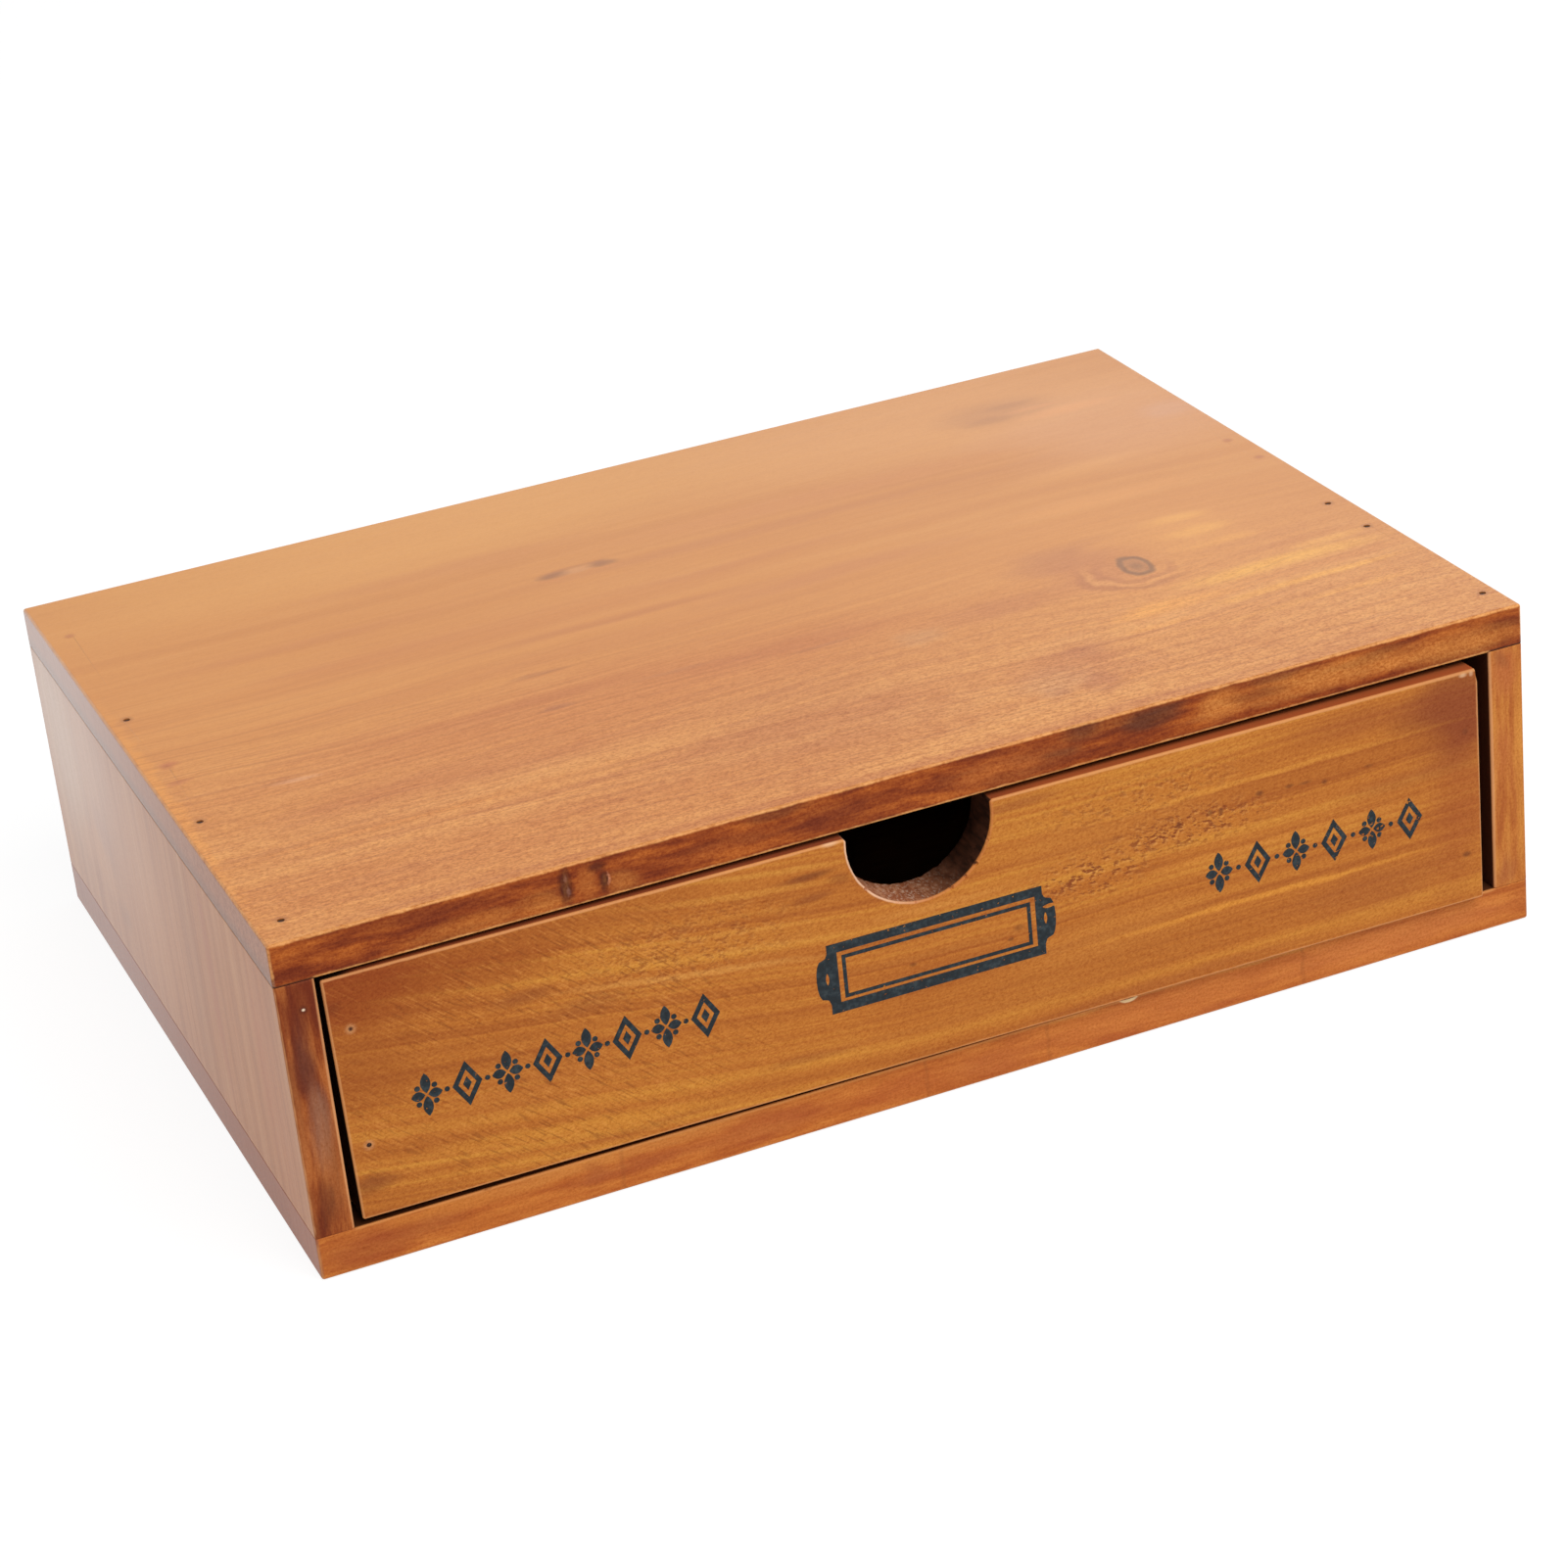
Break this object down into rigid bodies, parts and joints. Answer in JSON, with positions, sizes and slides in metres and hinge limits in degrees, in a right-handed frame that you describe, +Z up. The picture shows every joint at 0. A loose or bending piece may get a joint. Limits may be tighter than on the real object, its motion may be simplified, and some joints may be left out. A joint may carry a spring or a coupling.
{
  "type": "desktop drawer organizer",
  "caption": "Low wooden desktop case, open at the front, with a full-width drawer that slides out on its base and is pulled by a round finger cut.",
  "frame": {"origin": "middle of the case's base, on the surface that it stands on", "axes": "+X to the right along the front, +Y to the back, +Z up; the drawer opens towards -Y"},
  "size_m": [0.335, 0.2404, 0.0905],
  "materials": {
    "case_wood": "orange-brown stain under a thin satin varnish, rubbed lighter at the edges",
    "drawer_front_wood": "golden-brown stain under a thin satin varnish, with fine saw and sanding marks",
    "drawer_box_wood": "thin brown stain on sawn softwood, matt",
    "plywood": "thin stained plywood, matt",
    "nail_steel": "dull darkened steel, set below the surface",
    "printed_ornament": "thin dark grey-blue ink on the drawer front, worn through to the wood"
  },
  "bodies": {
    "case": {"top_board": "case_wood", "bottom_board": "case_wood", "left_side_board": "case_wood", "right_side_board": "case_wood", "back_panel": "plywood", "top_left_brads": "nail_steel", "top_right_brads": "nail_steel", "bottom_left_brads": "nail_steel", "bottom_right_brads": "nail_steel", "back_panel_left_pins": "nail_steel", "back_panel_right_pins": "nail_steel"},
    "drawer": {"drawer_front": "drawer_front_wood", "drawer_left_side": "drawer_box_wood", "drawer_right_side": "drawer_box_wood", "drawer_back": "drawer_box_wood", "drawer_bottom": "plywood", "drawer_front_left_brads": "nail_steel", "drawer_front_right_brads": "nail_steel", "drawer_back_left_pins": "nail_steel", "drawer_back_right_pins": "nail_steel", "drawer_bottom_left_pins": "nail_steel", "drawer_bottom_right_pins": "nail_steel", "drawer_bottom_back_pins": "nail_steel"}
  },
  "joints": [
    {"name": "drawer_slide", "type": "slide", "parent": "case", "child": "drawer", "axis": [0, -1, 0], "range_m": [0, 0.195]}
  ]
}
